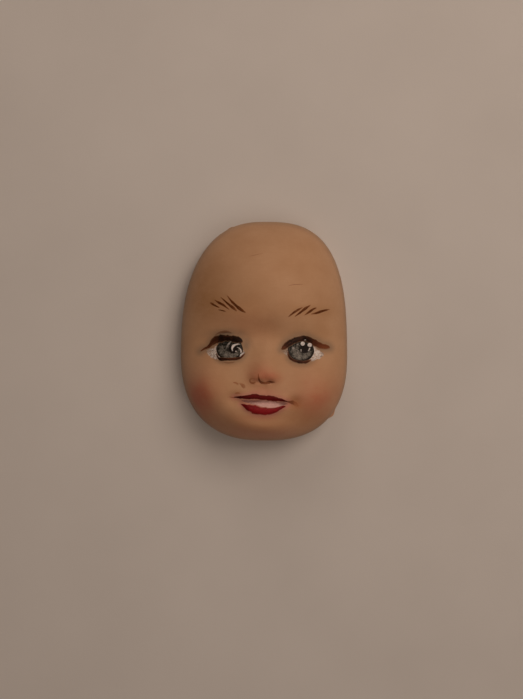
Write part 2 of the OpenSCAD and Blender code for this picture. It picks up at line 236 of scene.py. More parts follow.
UPPER_LID_LEFT = [
    [[-15.2, -5.5, 0.14, 0.1, 0.6], [-14.3, -4.9, 0.21, 0.3, 0.9], [-13.2, -4.4, 0.36, 0.5, 0.9],
     [-12.3, -3.5, 0.69, 0.6, 0.75], [-11.4, -2.8, 0.94, 0.75, 0.85], [-10.1, -2.5, 0.94, 1.0, 1.0],
     [-8.9, -2.4, 0.75, 1.0, 1.0], [-7.8, -2.5, 0.77, 1.0, 1.0], [-6.6, -2.7, 0.89, 1.0, 1.0],
     [-5.6, -3.0, 0.61, 1.0, 1.0], [-5.1, -3.5, 0.16, 0.7, 0.8]],
    [[-11.6, -1.7, 0.09, 0.3, 0.2], [-10.6, -1.1, 0.2, 0.4, 0.4], [-9.4, -0.9, 0.28, 0.5, 0.5],
     [-8.5, -0.9, 0.26, 0.5, 0.45], [-7.5, -1.2, 0.12, 0.4, 0.2]],
]
UPPER_LID_RIGHT = [
    [[4.0, -5.1, 0.12, 0.3, 0.7], [4.7, -4.5, 0.52, 0.5, 0.9], [5.4, -3.9, 0.7, 0.8, 0.95],
     [6.4, -3.3, 0.75, 0.9, 1.0], [7.4, -2.85, 0.77, 0.9, 1.0], [8.6, -2.55, 0.76, 0.9, 1.0],
     [9.8, -2.55, 0.74, 1.0, 1.0], [11.0, -2.95, 0.72, 0.9, 1.0], [12.2, -3.6, 0.78, 0.65, 1.0],
     [13.5, -4.2, 0.74, 0.3, 0.9], [14.6, -4.4, 0.62, 0.1, 0.85], [15.3, -4.5, 0.41, 0.15, 0.8],
     [15.8, -4.7, 0.1, 0.1, 0.5]],
]
LOWER_LID_LEFT = [
    [[-11.2, -5.9, 0.09, 0.6, 0.6], [-10.9, -6.8, 0.22, 0.9, 0.9], [-10.2, -7.3, 0.36, 1.0, 1.0],
     [-9.3, -7.3, 0.36, 0.95, 1.0], [-8.2, -7.3, 0.34, 0.8, 1.0], [-7.0, -7.25, 0.33, 0.75, 1.0],
     [-6.0, -7.1, 0.3, 0.85, 0.95], [-5.2, -6.7, 0.24, 0.6, 0.9], [-4.4, -5.9, 0.11, 0.3, 0.5]],
    [[-9.5, -8.0, 0.07, 0.2, 0.2], [-8.4, -8.15, 0.14, 0.3, 0.35], [-7.5, -8.1, 0.15, 0.3, 0.35],
     [-6.7, -7.9, 0.07, 0.2, 0.2]],
]
LOWER_LID_RIGHT = [
    [[5.5, -5.4, 0.09, 0.3, 0.5], [5.6, -6.3, 0.18, 0.6, 0.8], [6.1, -7.1, 0.27, 0.8, 0.95],
     [6.9, -7.6, 0.32, 0.7, 1.0], [8.0, -7.9, 0.36, 0.9, 1.0], [9.1, -8.0, 0.34, 0.8, 1.0],
     [10.0, -7.9, 0.32, 0.7, 0.9], [11.1, -7.4, 0.12, 0.4, 0.5]],
]
BROW_LEFT = [
    [[-12.9, 6.1, 0.14], [-12.1, 5.6, 0.26], [-11.2, 5.1, 0.22], [-10.4, 4.7, 0.08]],
    [[-11.8, 6.7, 0.09], [-10.7, 6.0, 0.27], [-9.5, 5.3, 0.26], [-8.1, 4.2, 0.09]],
    [[-10.3, 7.3, 0.07], [-9.3, 6.4, 0.2], [-8.2, 5.4, 0.28], [-7.2, 4.6, 0.32], [-6.3, 3.8, 0.14]],
    [[-8.7, 7.6, 0.08], [-7.6, 6.2, 0.26], [-6.5, 5.1, 0.32], [-5.3, 4.1, 0.36], [-4.2, 3.4, 0.1]],
    [[-10.9, 4.3, 0.06], [-10.0, 4.1, 0.13], [-8.9, 3.8, 0.06]],
]
BROW_RIGHT = [
    [[5.5, 2.4, 0.1], [6.6, 3.3, 0.26], [7.8, 4.1, 0.26], [9.0, 4.8, 0.08]],
    [[7.0, 2.5, 0.08], [8.2, 3.4, 0.24], [9.6, 4.5, 0.3], [10.9, 5.4, 0.1]],
    [[9.3, 2.9, 0.08], [10.5, 3.7, 0.26], [11.5, 4.4, 0.24], [12.4, 4.8, 0.08]],
    [[10.9, 3.2, 0.08], [12.4, 3.55, 0.26], [13.9, 4.1, 0.28], [15.8, 4.6, 0.08]],
]
NOSTRILS = [
    [[-2.0, -11.9, 0.08, 0.2, 0.2], [-2.7, -11.7, 0.16, 0.2, 0.3], [-3.3, -12.1, 0.2, 0.3, 0.45],
     [-3.1, -12.7, 0.22, 0.5, 0.65], [-2.4, -12.8, 0.24, 0.5, 0.65], [-1.9, -12.4, 0.1, 0.3, 0.4]],
    [[-1.4, -10.5, 0.09, 0.3, 0.6], [-1.3, -11.4, 0.18, 0.4, 0.8], [-1.1, -12.2, 0.25, 0.8, 0.9],
     [-0.6, -12.7, 0.3, 0.7, 0.8], [0.3, -12.8, 0.3, 0.5, 0.8], [1.2, -12.6, 0.35, 0.7, 0.9],
     [1.8, -12.6, 0.23, 1.0, 1.0], [2.6, -12.6, 0.07, 0.5, 0.6]],
]
UPPER_LIP = [[-7.1, -16.1, 0.08, 0.9, 0.6], [-6.0, -16.1, 0.24, 0.8, 1.0], [-4.9, -16.05, 0.38, 0.6, 1.0],
             [-3.7, -16.05, 0.47, 0.5, 1.0], [-2.6, -15.9, 0.64, 0.4, 1.0], [-1.8, -15.9, 0.69, 0.4, 1.0],
             [-0.9, -16.1, 0.56, 0.4, 1.0], [0.4, -16.2, 0.58, 0.3, 1.0], [1.5, -16.3, 0.6, 0.3, 1.0],
             [2.7, -16.5, 0.52, 0.3, 1.0], [3.9, -16.7, 0.36, 0.5, 1.0], [4.8, -16.95, 0.18, 0.7, 1.0],
             [5.5, -17.1, 0.07, 0.9, 0.8]]
TEETH = [[-5.3, -16.9, 0.09, 1.2, 0.6], [-4.2, -17.0, 0.32, 1.2, 0.8], [-2.8, -17.2, 0.51, 1.0, 1.0],
         [-1.4, -17.4, 0.67, 0.45, 1.0], [0.2, -17.6, 0.85, 0.2, 1.0], [1.8, -17.7, 0.83, 0.2, 1.0],
         [3.4, -17.7, 0.6, 0.55, 1.0], [4.6, -17.6, 0.42, 1.15, 0.8], [5.5, -17.7, 0.12, 1.2, 0.4]]
LOWER_LIP = [[-5.4, -17.7, 0.09, 0.9, 0.9], [-4.6, -18.0, 0.37, 0.9, 1.0], [-3.8, -18.4, 0.67, 0.7, 1.0],
             [-2.8, -18.7, 0.9, 0.4, 1.0], [-1.9, -19.0, 1.06, 0.2, 1.0], [-1.0, -19.2, 0.97, 0.3, 1.0],
             [0.2, -19.3, 0.9, 0.1, 1.0], [1.3, -19.3, 0.83, 0.2, 1.0], [2.4, -19.1, 0.67, 0.3, 1.0],
             [3.4, -18.7, 0.44, 0.5, 1.0], [4.4, -18.3, 0.26, 0.7, 1.0], [5.0, -18.3, 0.07, 0.9, 0.8]]
MOUTH_CORNERS = [
    [[-8.2, -16.0, 0.07, 0.2, 0.3], [-7.4, -16.2, 0.14, 0.4, 0.6], [-6.6, -16.2, 0.16, 0.6, 0.7]],
    [[4.9, -17.0, 0.12, 0.9, 0.9], [5.8, -17.2, 0.3, 0.7, 0.9], [6.7, -17.4, 0.46, 0.5, 0.85],
     [7.5, -17.9, 0.36, 0.25, 0.55], [8.1, -18.4, 0.1, 0.1, 0.2]],
    [[-6.9, -15.3, 0.08, 0.1, 0.3], [-6.2, -15.1, 0.24, 0.2, 0.6], [-5.4, -15.2, 0.1, 0.1, 0.3]],
]
STRAY_MARKS = [
    [[-7.3, -12.7, 0.14, 0.1, 0.4], [-6.6, -12.8, 0.24, 0.2, 0.6], [-5.9, -13.2, 0.2, 0.2, 0.5]],
    [[-5.8, -12.8, 0.12, 0.2, 0.4], [-4.9, -13.4, 0.44, 0.25, 0.6], [-4.5, -14.1, 0.2, 0.2, 0.4]],
    [[5.6, 9.7, 0.05, 0.2, 0.3], [6.9, 10.0, 0.09, 0.3, 0.5], [9.1, 10.2, 0.07, 0.2, 0.4]],
    [[-3.7, 16.9, 0.05, 0.2, 0.2], [-2.2, 17.2, 0.08, 0.3, 0.4], [-0.2, 17.7, 0.05, 0.2, 0.2]],
]


def hairs(strokes):
    """Brow hairs are darkest in their middle and thin out at both ends."""
    result = []
    for stroke in strokes:
        last = len(stroke) - 1
        tone = [0.25 + 0.6 * math.sin(math.pi * k / last) for k in range(last + 1)]
        cover = [0.55 + 0.4 * math.sin(math.pi * k / last) for k in range(last + 1)]
        result.append([[*p, tone[k], cover[k]] for k, p in enumerate(stroke)])
    return result


def iris_rim(disc, start, end):
    """Dark line round an iris between two angles in degrees, thickest half way."""
    x, y, rx, ry = disc
    spans = 8
    path = []
    for k in range(spans + 1):
        angle = math.radians(start + (end - start) * k / spans)
        middle = math.sin(math.pi * k / spans)
        path.append([x + (rx - 0.1) * math.cos(angle), y + (ry - 0.1) * math.sin(angle),
                     0.08 + 0.16 * middle, 0.5 + 0.4 * middle, 0.6 + 0.3 * middle])
    return path


def along(path, steps):
    """Points of the smooth curve through a stroke's points, steps for each span."""
    p = np.array(path, dtype=float)
    last = len(p) - 1
    rows = []
    for k in range(last):
        a, b, c, d = p[max(k - 1, 0)], p[k], p[k + 1], p[min(k + 2, last)]
        for s in np.arange(steps) / steps:
            straight = 2 * b + (c - a) * s
            bent = straight + (2 * a - 5 * b + 4 * c - d) * s * s + (3 * b - a - 3 * c + d) * s ** 3
            rows.append(0.5 * bent)
    return np.array(rows + [p[-1]])


# ---------------------------------------------------------------------------------------------
# Powder rubbed into the skin, as four masks: rose blush, brown wash, dark grey and the pink that
# has bled out round the mouth. The brown mask also paints shade on the left temple and the right jaw,
# and the dark grey one a band of painted shade along the outline
# ---------------------------------------------------------------------------------------------
def beside(x, y, path, spread):
    """1 under a stroke, fading away over about spread mm beside it."""
    p = along(path, 4)
    gap = np.full(x.shape, 99.0)
    for row in p:
        gap = np.minimum(gap, np.hypot(x - row[0], y - row[1]) - row[2])
    return ridge(np.maximum(gap, 0), spread)


# Dabs of powder: strength, x, y, spread across and spread up
ROSE_DABS = [
    (0.75, -14.8, -16.6, 1.9, 2.6), (0.42, -15.4, -16.2, 3.6, 4.6),        # left cheek
    (0.34, 11.4, -16.8, 2.8, 2.1), (0.4, 12.6, -16.6, 5.2, 4.4),           # right cheek
    (0.5, -0.5, -25.2, 6.5, 1.6), (0.25, -9.5, -22.5, 4, 2),               # chin and left jaw
    (0.38, -0.9, -10.2, 2.0, 1.7), (0.42, 0.9, -11.1, 1.7, 0.9),           # tip of the nose
    (0.25, -2.5, -11.6, 1.3, 1.2), (0.3, 2.1, -12.0, 1.5, 0.9),            # sides of the nose
    (0.22, -0.6, -14.2, 2.0, 0.8), (0.35, -0.8, -20.8, 2.8, 0.5),          # over and under the lips
    (0.16, -4, 0.6, 5, 2.5),                                               # inner end of the left brow
]
BROWN_WASH_AND_SHADE_DABS = [
    (0.45, 10.8, 4.0, 4.6, 1.1), (0.34, -9.0, 5.2, 4.2, 1.7),              # under the brows
    (0.32, -1, 2.2, 3.4, 4.6), (0.2, 13.0, -1.2, 2.4, 1.4),                # bridge of the nose, right lid
    # painted shade: the left temple is darkened where the forehead turns away from the light
    (0.35, -15, 9, 4.6, 7.5), (0.35, -14, 9, 3, 5),                        # left temple
    (0.75, 7.5, -18.2, 1.7, 1.2), (0.7, 6.9, -17.2, 1.0, 0.9),             # right corner of the mouth
    (0.3, -7.6, -16.4, 1.5, 1.0), (0.4, -5.8, -15.1, 1.2, 0.5),            # left corner of the mouth
    (0.3, -2.6, -12.2, 0.8, 0.6), (0.2, -6.3, -13.4, 2.2, 1.0),            # beside the left nostril
    # the right-jaw dab is painted shade where the jaw turns under; the chin dab is a brown wash
    (0.28, 0, -22.6, 6.5, 1.6), (0.5, 11.5, -21.8, 3.2, 2.0),              # chin and right jaw
]
HAZE_DABS = [(1.0, -9.2, -1.5, 2.6, 0.8), (0.6, -6.0, -1.6, 1.4, 0.8), (0.75, -4.2, -3.9, 0.8, 1.4)]
PINK_DAB = (0.5, 0.4, -14.9, 2.6, 0.5)
# Strokes with powder beside them, its strength and how many mm it spreads
HAZE_SPREAD = ((UPPER_LID_LEFT[0], 0.6, 0.7), (UPPER_LID_RIGHT[0], 0.6, 0.7),
               (LOWER_LID_LEFT[0], 0.5, 0.6), (LOWER_LID_RIGHT[0], 0.5, 0.6))
PINK_SPREAD = ((UPPER_LIP, 0.8, 0.5), (LOWER_LIP, 0.85, 0.45), (TEETH, 0.8, 0.5))


def powder_dab(x, y, strength, *place):
    return strength * bump(x, y, *place)


def powder(p):
    """The four masks at points p: rose, brown, dark grey and pink, the brown and dark grey ones with
    painted shade in them.
    """
    x, y = p[..., 0], p[..., 1]
    patchy = 1 + 0.22 * noise(p, 2.4, 3.0) + 0.16 * noise(p * (1, 2.2, 1), 1.1, 7.0)
    rose = sum(powder_dab(x, y, *mark) for mark in ROSE_DABS)
    brown = sum(powder_dab(x, y, *mark) for mark in BROWN_WASH_AND_SHADE_DABS)
    # painted shade: a darker, greyer band along the outline, where the dome turns away from the light
    haze_and_rim_shade = 0.35 * smooth(0.93, 1.0, reach(x, y - WIDEST_Y))
    for path, strength, spread in HAZE_SPREAD:
        haze_and_rim_shade = np.maximum(haze_and_rim_shade, strength * beside(x, y, path, spread))
    for mark in HAZE_DABS:
        haze_and_rim_shade = np.maximum(haze_and_rim_shade, powder_dab(x, y, *mark))
    pink = powder_dab(x, y, *PINK_DAB)
    for path, strength, spread in PINK_SPREAD:
        pink = np.maximum(pink, strength * beside(x, y, path, spread))
    masks = np.stack([rose * patchy, brown * patchy, haze_and_rim_shade * (0.8 + 0.2 * patchy), pink], axis=-1)
    return np.clip(masks, 0, 1)


# ---------------------------------------------------------------------------------------------
# Meshes
# ---------------------------------------------------------------------------------------------
SHARP_ANGLE = math.radians(50)


def piece(name, verts, faces, material, node, slot, **marks):
    """A mesh piece that stands for a CAD node. marks are values per vertex for its material."""
    mesh = bpy.data.meshes.new(name)
    mesh.from_pydata((np.asarray(verts) * MM).tolist(), [], faces)
    mesh.validate()
    mesh.polygons.foreach_set("use_smooth", [True] * len(mesh.polygons))
    mesh.set_sharp_from_angle(angle=SHARP_ANGLE)
    masks = mesh.attributes.new("powder", "FLOAT_COLOR", "POINT")
    masks.data.foreach_set("color", powder(np.asarray(verts)).ravel())
    for key, values in marks.items():
        values = np.asarray(values, dtype=float)
        kind = "FLOAT_VECTOR" if values.ndim == 2 else "FLOAT"
        mark = mesh.attributes.new(key, kind, "POINT")
        mark.data.foreach_set("vector" if values.ndim == 2 else "value", values.ravel())
    mesh.materials.append(material)
    obj = bpy.data.objects.new(name, mesh)
    bpy.context.collection.objects.link(obj)
    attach(obj, "root")
    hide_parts(node)


def band_faces(rings, n, first):
    """Quads between rings of n points each, whose first vertex is number first."""
    k, i = np.meshgrid(np.arange(rings - 1), np.arange(n), indexing="ij")
    a = first + k * n + i
    b = first + k * n + (i + 1) % n
    return np.stack([a, b, b + n, a + n], axis=-1).reshape(-1, 4).tolist()


def fan_faces(hub, ring_start, n, flip):
    faces = [[hub, ring_start + i, ring_start + (i + 1) % n] for i in range(n)]
    return [f[::-1] for f in faces] if flip else faces


RAYS = 360
DOME_RINGS = 205
WALL_RINGS = 26
BACK_RINGS = 12
RING_EXPONENT = 0.9           # below 1, rings stand further apart by the nose and closer by the edge
FLASH = ((-51.3, 0.55), (108.3, 0.3))     # lumps left where the mould closed: bearing in degrees, size
FLASH_DEGREES = 1.6           # spread of a lump along the edge
FLASH_DROP = 0.28             # and down the wall, as a share of its height
PARED_DEPTH = 0.22            # depth of the broad cuts in the wall
NOTCH_DEPTH = 0.05            # and of the small ones
HOLLOW = 0.06                 # height of the pared back over the surface that its edge rests on
HOLLOW_WAVE = 0.05            # how much that varies


def face_dome(angle):
    """Rings from next to the nose's tip out to just inside the widest line."""
    edge_x, edge_y = outline(angle)
    rings = []
    for k in range(1, DOME_RINGS):
        share = math.sin(math.pi / 2 * k / DOME_RINGS) ** RING_EXPONENT
        x = NOSE_TIP[0] + (edge_x - NOSE_TIP[0]) * share
        y = NOSE_TIP[1] + (edge_y - NOSE_TIP[1]) * share
        rings.append(points(x, y, face_z(x, y)))
    return rings


def face_wall(angle):
    """Rings from the widest line down to the back's edge, shaved by a knife."""
    edge_x, edge_y = outline(angle)
    radius = np.hypot(edge_x, edge_y)
    bearing = np.degrees(np.arctan2(edge_y, edge_x))
    lump = sum(size * ridge(bearing - at, FLASH_DEGREES) for at, size in FLASH)
    inset = BACK_INSET - BACK_LEAN * (np.cos(angle) + np.sin(angle))
    rings = []
    for drop in np.linspace(0, 1, WALL_RINGS):
        z = rim_height(edge_y) * (1 - drop)
        shape = 1 - inset * drop ** 2.2 / radius
        p = points(edge_x * shape, edge_y * shape, z)
        facets = PARED_DEPTH * np.abs(noise(p * (1, 1, 0.35), 4.6, 2.0))
        facets = facets + NOTCH_DEPTH * np.abs(noise(p, 1.1, 4.0))
        depth = (facets + 0.02) * smooth(0, 0.25, drop) * (1 - 0.5 * drop ** 6)
        depth = depth - lump * ridge(drop, FLASH_DROP)
        scale = 1 - depth / radius
        rings.append(p * np.stack([scale, scale, np.ones_like(scale)], axis=-1))
    return rings


def face_back(edge):
    """Rings from the back's edge in to its middle, pared flat with a blade in long shallow cuts."""
    rings = []
    for k in range(1, BACK_RINGS):
        p = edge * (1 - k / BACK_RINGS)
        cuts = noise(p * (0.35, 1, 1), 2.2, 6.0)
        hollow = smooth(0, 3, k) * (HOLLOW + HOLLOW_WAVE * cuts)
        rings.append(points(p[:, 0], p[:, 1], np.maximum(hollow, 0)))
    return rings


def make_face(material):
    angle = np.arange(RAYS) * 2 * math.pi / RAYS
    rings = face_dome(angle) + face_wall(angle)
    rings += face_back(rings[-1])
    top = [NOSE_TIP[0], NOSE_TIP[1], float(face_z(np.array(NOSE_TIP[0]), np.array(NOSE_TIP[1])))]
    verts = np.vstack([[top], np.concatenate(rings), [[0, 0, HOLLOW]]])
    last = len(verts) - 1
    faces = fan_faces(0, 1, RAYS, False) + [f[::-1] for f in band_faces(len(rings), RAYS, 1)]
    faces += fan_faces(last, last - RAYS, RAYS, True)
    wall = np.zeros(len(verts))
    wall[1 + RAYS * (DOME_RINGS - 1):] = 1
    piece("painted_clay_face", verts, faces, material, "clay_face", "clay", pared=wall)


TOP_ACROSS = 9
UNDER_ACROSS = 3
KEY = 0.04                    # how deep a film's underside sits in the clay, or a dab's in what it lies on
FEATHER = 0.012               # height of a film's edge over the clay
RAGGED = 0.16                 # how much a stroke's width strays, as a share of it
RAGGED_EVERY = 0.4            # mm along a stroke from one stray to the next
THINNEST = 0.03               # least half width of a stroke
DRY_END = 0.35                # mm over which the paint runs out at a stroke's ends
END_TRACE = 0.08              # how far along that the stroke starts
BRISTLES_ALONG = 0.25         # ridges per mm of a stroke
BRISTLES_ACROSS = 2.6         # ridges per half width of it
BRISTLE_SEED = 3.7
DAB_WOBBLE = 0.05             # how far a dab's edge strays from round, as a share of its radius
DAB_LOBES = 1.4               # more of these make more lobes round it
DAB_GRAIN = 2.2               # lumps per mm of its surface


def film_stroke(path, lift, thick, steps, seed, tilt):
    """One brush stroke: verts, faces, the brush values (mm along, place across, cover) and the tone,
    which gains tilt from the stroke's middle to its right-hand side."""
    rows = along(path, steps)
    slope = np.gradient(rows[:, :2], axis=0)
    side = np.stack([slope[:, 1], -slope[:, 0]], axis=-1) / np.linalg.norm(slope, axis=1)[:, None]
    length = np.concatenate([[0], np.cumsum(np.linalg.norm(np.diff(rows[:, :2], axis=0), axis=1))])
    across = np.concatenate([np.linspace(-1, 1, TOP_ACROSS), np.linspace(0.7, -0.7, UNDER_ACROSS)])
    top = np.arange(len(across)) < TOP_ACROSS
    edge = noise(points(length / RAGGED_EVERY, 0, seed), 1.0)
    width = np.maximum(rows[:, 2] * (1 + RAGGED * edge), THINNEST)
    x = rows[:, :1] + side[:, :1] * width[:, None] * across
    y = rows[:, 1:2] + side[:, 1:2] * width[:, None] * across
    bristles = noise(points(length[:, None] * BRISTLES_ALONG, across * BRISTLES_ACROSS,
                            seed + BRISTLE_SEED), 1.0)
    ends = np.minimum(length, length[-1] - length)[:, None]
    load = rows[:, 4:5] * smooth(0, DRY_END, ends + END_TRACE)
    crown = (1 - np.abs(across) ** 3) * (0.85 + 0.25 * bristles) * load
    height = np.where(top, FEATHER + lift + thick * crown, -KEY)
    z = face_z(x, y) + height
    cover = np.clip(load * (1.3 - 0.85 * np.abs(across) ** 6 + 0.2 * bristles), 0, 1)
    tone = np.clip(rows[:, 3:4] + 0.22 * bristles + tilt * across, 0, 1)
    n, m = len(across), len(rows)
    verts = points(x, y, z).reshape(-1, 3)
    hubs = [verts[:n].mean(axis=0), verts[-n:].mean(axis=0)]
    brush = points(length[:, None], across, cover).reshape(-1, 3)
    faces = band_faces(m, n, 0) + fan_faces(m * n, 0, n, True)
    faces += fan_faces(m * n + 1, (m - 1) * n, n, False)
    tones = np.broadcast_to(tone, (m, n)).ravel()
    return (np.vstack([verts, hubs]), faces, np.vstack([brush, brush[[0, -1]]]),
            np.append(tones, [tones[0], tones[-1]]))


def film_dab(dab, lift, thick, seed, rings=8, sides=48, tone=0.0, crown_power=4.0, shade=None):
    """A round dab of paint, as film_stroke gives a stroke, but with the share of the radius and the
    angle in place of mm along and place across."""
    cx, cy, rx, ry = dab[:4]
    angle = np.arange(sides) * 2 * math.pi / sides
    lobes = points(np.cos(angle) * DAB_LOBES, np.sin(angle) * DAB_LOBES, seed)
    wobble = 1 + DAB_WOBBLE * noise(lobes, 1.0)
    verts, brush, tones = [], [], []
    for k in list(range(rings, 0, -1)) + [-rings]:
        share = abs(k) / rings
        x = cx + rx * share * wobble * np.cos(angle)
        y = cy + ry * share * wobble * np.sin(angle)
        rough = noise(points(x * DAB_GRAIN, y * DAB_GRAIN, seed), 1.0)
        top = FEATHER + lift + thick * (1 - share ** crown_power) * (1 + 0.2 * rough)
        height = top if k > 0 else lift - KEY + 0 * x
        verts.append(points(x, y, face_z(x, y) + height))
        cover = np.clip(1.15 - share ** 8 * 0.7 + 0.1 * rough, 0, 1)
        brush.append(points(share, angle / math.pi - 1, cover))
        tones.append(np.clip((shade(share, angle) if shade else tone) + 0.12 * rough, 0, 1) + 0 * x)
    # order: underside, then from the edge in to the middle
    verts, brush, tones = verts[-1:] + verts[:-1], brush[-1:] + brush[:-1], tones[-1:] + tones[:-1]
    centre_z = float(face_z(np.array(cx), np.array(cy))) + lift
    hubs = [[cx, cy, centre_z - KEY], [cx, cy, centre_z + FEATHER + thick]]
    count = len(verts)
    faces = band_faces(count, sides, 0) + fan_faces(count * sides, 0, sides, True)
    faces += fan_faces(count * sides + 1, (count - 1) * sides, sides, False)
    middle_tone = float(np.mean(tones[-1]))
    return (np.vstack(verts + [hubs]), faces, np.vstack(brush + [[[0, 0, 1], [0, 0, 1]]]),
            np.concatenate(tones + [[middle_tone, middle_tone]]))


def film(name, node, slot, material, parts):
    """Joins strokes and dabs into one piece."""
    verts, faces, brush, tone = [], [], [], []
    count = 0
    for v, f, b, t in parts:
        faces += [[i + count for i in face] for face in f]
        count += len(v)
        verts.append(v)
        brush.append(b)
        tone.append(t)
    piece(name, np.vstack(verts), faces, material, node, slot,
          brush=np.vstack(brush), tone=np.concatenate(tone))


# ---------------------------------------------------------------------------------------------
# Materials
# ---------------------------------------------------------------------------------------------
class Nodes:
    """Short calls that add nodes to a material or group and link them up."""

    def __init__(self, tree):
        self.tree = tree

    def add(self, kind, settings=None, **inputs):
        node = self.tree.nodes.new(kind)
        for key, value in (settings or {}).items():
            setattr(node, key, value)
        for key, value in inputs.items():
            self.put(node.inputs[int(key[1:]) if key[1:].isdigit() else key.replace("_", " ")], value)
        return node

    def put(self, socket, value):
        if isinstance(value, bpy.types.NodeSocket):
            self.tree.links.new(value, socket)
        else:
            socket.default_value = value

    def math(self, operation, a, b):
        return self.add("ShaderNodeMath", {"operation": operation}, _0=a, _1=b).outputs[0]

    def clamped(self, operation, a, b):
        settings = {"operation": operation, "use_clamp": True}
        return self.add("ShaderNodeMath", settings, _0=a, _1=b).outputs[0]

    def mix(self, factor, a, b):
        node = self.add("ShaderNodeMix", {"data_type": "RGBA"})
        for index, value in ((0, factor), (6, a), (7, b)):
            self.put(node.inputs[index], value)
        return node.outputs[2]

    def span(self, value, low, high, to_low, to_high):
        node = self.add("ShaderNodeMapRange", None, Value=value, From_Min=low, From_Max=high)
        self.put(node.inputs["To Min"], to_low)
        self.put(node.inputs["To Max"], to_high)
        return node.outputs[0]

    def vary(self, noise, low, high):
        """Runs from low to high with a noise, most of which lies between 0.3 and 0.7."""
        return self.span(noise, 0.3, 0.7, low, high)

    def noise(self, vector, scale, detail, rough=0.5):
        node = self.add("ShaderNodeTexNoise", None, Vector=vector, Scale=scale)
        self.put(node.inputs["Detail"], detail)
        self.put(node.inputs["Roughness"], rough)
        return node.outputs[0]

    def stretch(self, vector, scale, turn=0.0):
        """The vector scaled by a number for each axis and turned about Z."""
        node = self.add("ShaderNodeMapping", None, Vector=vector, Scale=scale, Rotation=(0, 0, turn))
        return node.outputs[0]

    def attribute(self, name):
        return self.add("ShaderNodeAttribute", {"attribute_name": name})

    def place(self):
        """Object coordinates in millimetres."""
        at = self.add("ShaderNodeTexCoord").outputs["Object"]
        return self.stretch(at, (1 / MM, 1 / MM, 1 / MM))

    def bump(self, height, depth_mm, normal=None):
        node = self.add("ShaderNodeBump", None, Height=height, Strength=1.0, Distance=depth_mm * MM)
        if normal is not None:
            self.put(node.inputs["Normal"], normal)
        return node.outputs[0]


def rgb(r, g, b):
    return (r, g, b, 1.0)


CLAY = rgb(0.610, 0.365, 0.212)
CLAY_DEEP = rgb(0.545, 0.308, 0.166)
PARED = rgb(0.60, 0.37, 0.225)
PARED_DEEP = rgb(0.50, 0.29, 0.165)
ROSE = rgb(0.560, 0.178, 0.098)
# BROWN also paints shade on the left temple and the right jaw, and HAZE a band of shade along the outline
BROWN = rgb(0.400, 0.200, 0.082)
HAZE = rgb(0.235, 0.165, 0.110)
PINK = rgb(0.565, 0.235, 0.175)


def skin_tone():
    """Node group with the colour of the powdered clay, painted shade included, for the clay and for the
    thin edges of paint.
    """
    tree = bpy.data.node_groups.new("skin_tone", "ShaderNodeTree")
    tree.interface.new_socket("Color", in_out="OUTPUT", socket_type="NodeSocketColor")
    n = Nodes(tree)
    at = n.place()
    colour = n.mix(n.span(n.noise(at, 0.16, 3.0), 0.35, 0.7, 0.0, 0.8), CLAY, CLAY_DEEP)
    colour = n.mix(n.span(n.noise(at, 2.4, 4.0, 0.65), 0.3, 0.75, 0.0, 0.22), colour, CLAY_DEEP)
    wiped = n.stretch(at, (0.3, 2.6, 1.0), 0.08)
    colour = n.mix(n.span(n.noise(wiped, 1.0, 4.0, 0.6), 0.45, 0.75, 0.0, 0.3), colour, CLAY_DEEP)
    masks = n.attribute("powder")
    split = n.add("ShaderNodeSeparateColor", None, Color=masks.outputs["Color"])
    speckle = n.vary(n.noise(at, 5.5, 3.0, 0.6), 0.8, 1.15)
    for mask, paint in ((split.outputs[1], BROWN), (split.outputs[0], ROSE), (split.outputs[2], HAZE),
                        (masks.outputs["Alpha"], PINK)):
        colour = n.mix(n.clamped("MULTIPLY", mask, speckle), colour, paint)
    out = n.add("NodeGroupOutput")
    n.put(out.inputs[0], colour)
    return tree


def new_material(name):
    material = bpy.data.materials.new(name)
    material.use_nodes = True
    tree = material.node_tree
    return material, Nodes(tree), tree.nodes["Principled BSDF"]


def clay_material(tone_group):
    material, n, shader = new_material("bare_clay_with_powder")
    at = n.place()
    tone = n.add("ShaderNodeGroup", {"node_tree": tone_group}).outputs[0]
    pared = n.attribute("pared").outputs["Fac"]
    fresh = n.mix(n.vary(n.noise(at, 0.9, 3.0), 0.0, 1.0), PARED, PARED_DEEP)
    n.put(shader.inputs["Base Color"], n.mix(n.math("MULTIPLY", pared, 0.6), tone, fresh))
    n.put(shader.inputs["Roughness"], n.vary(n.noise(at, 1.3, 3.0), 0.52, 0.68))
    shader.inputs["Specular IOR Level"].default_value = 0.22
    shader.inputs["Sheen Weight"].default_value = 0.06
    shader.inputs["Sheen Roughness"].default_value = 0.5
    grain = n.bump(n.noise(at, 7.0, 4.0, 0.6), 0.02)
    scratched = n.stretch(at, (0.5, 5.0, 3.0), 0.6)
    cuts = n.math("MULTIPLY", n.noise(scratched, 1.0, 3.0), pared)
    n.put(shader.inputs["Normal"], n.bump(cuts, 0.12, n.bump(n.noise(at, 1.2, 3.0), 0.035, grain)))
    return material


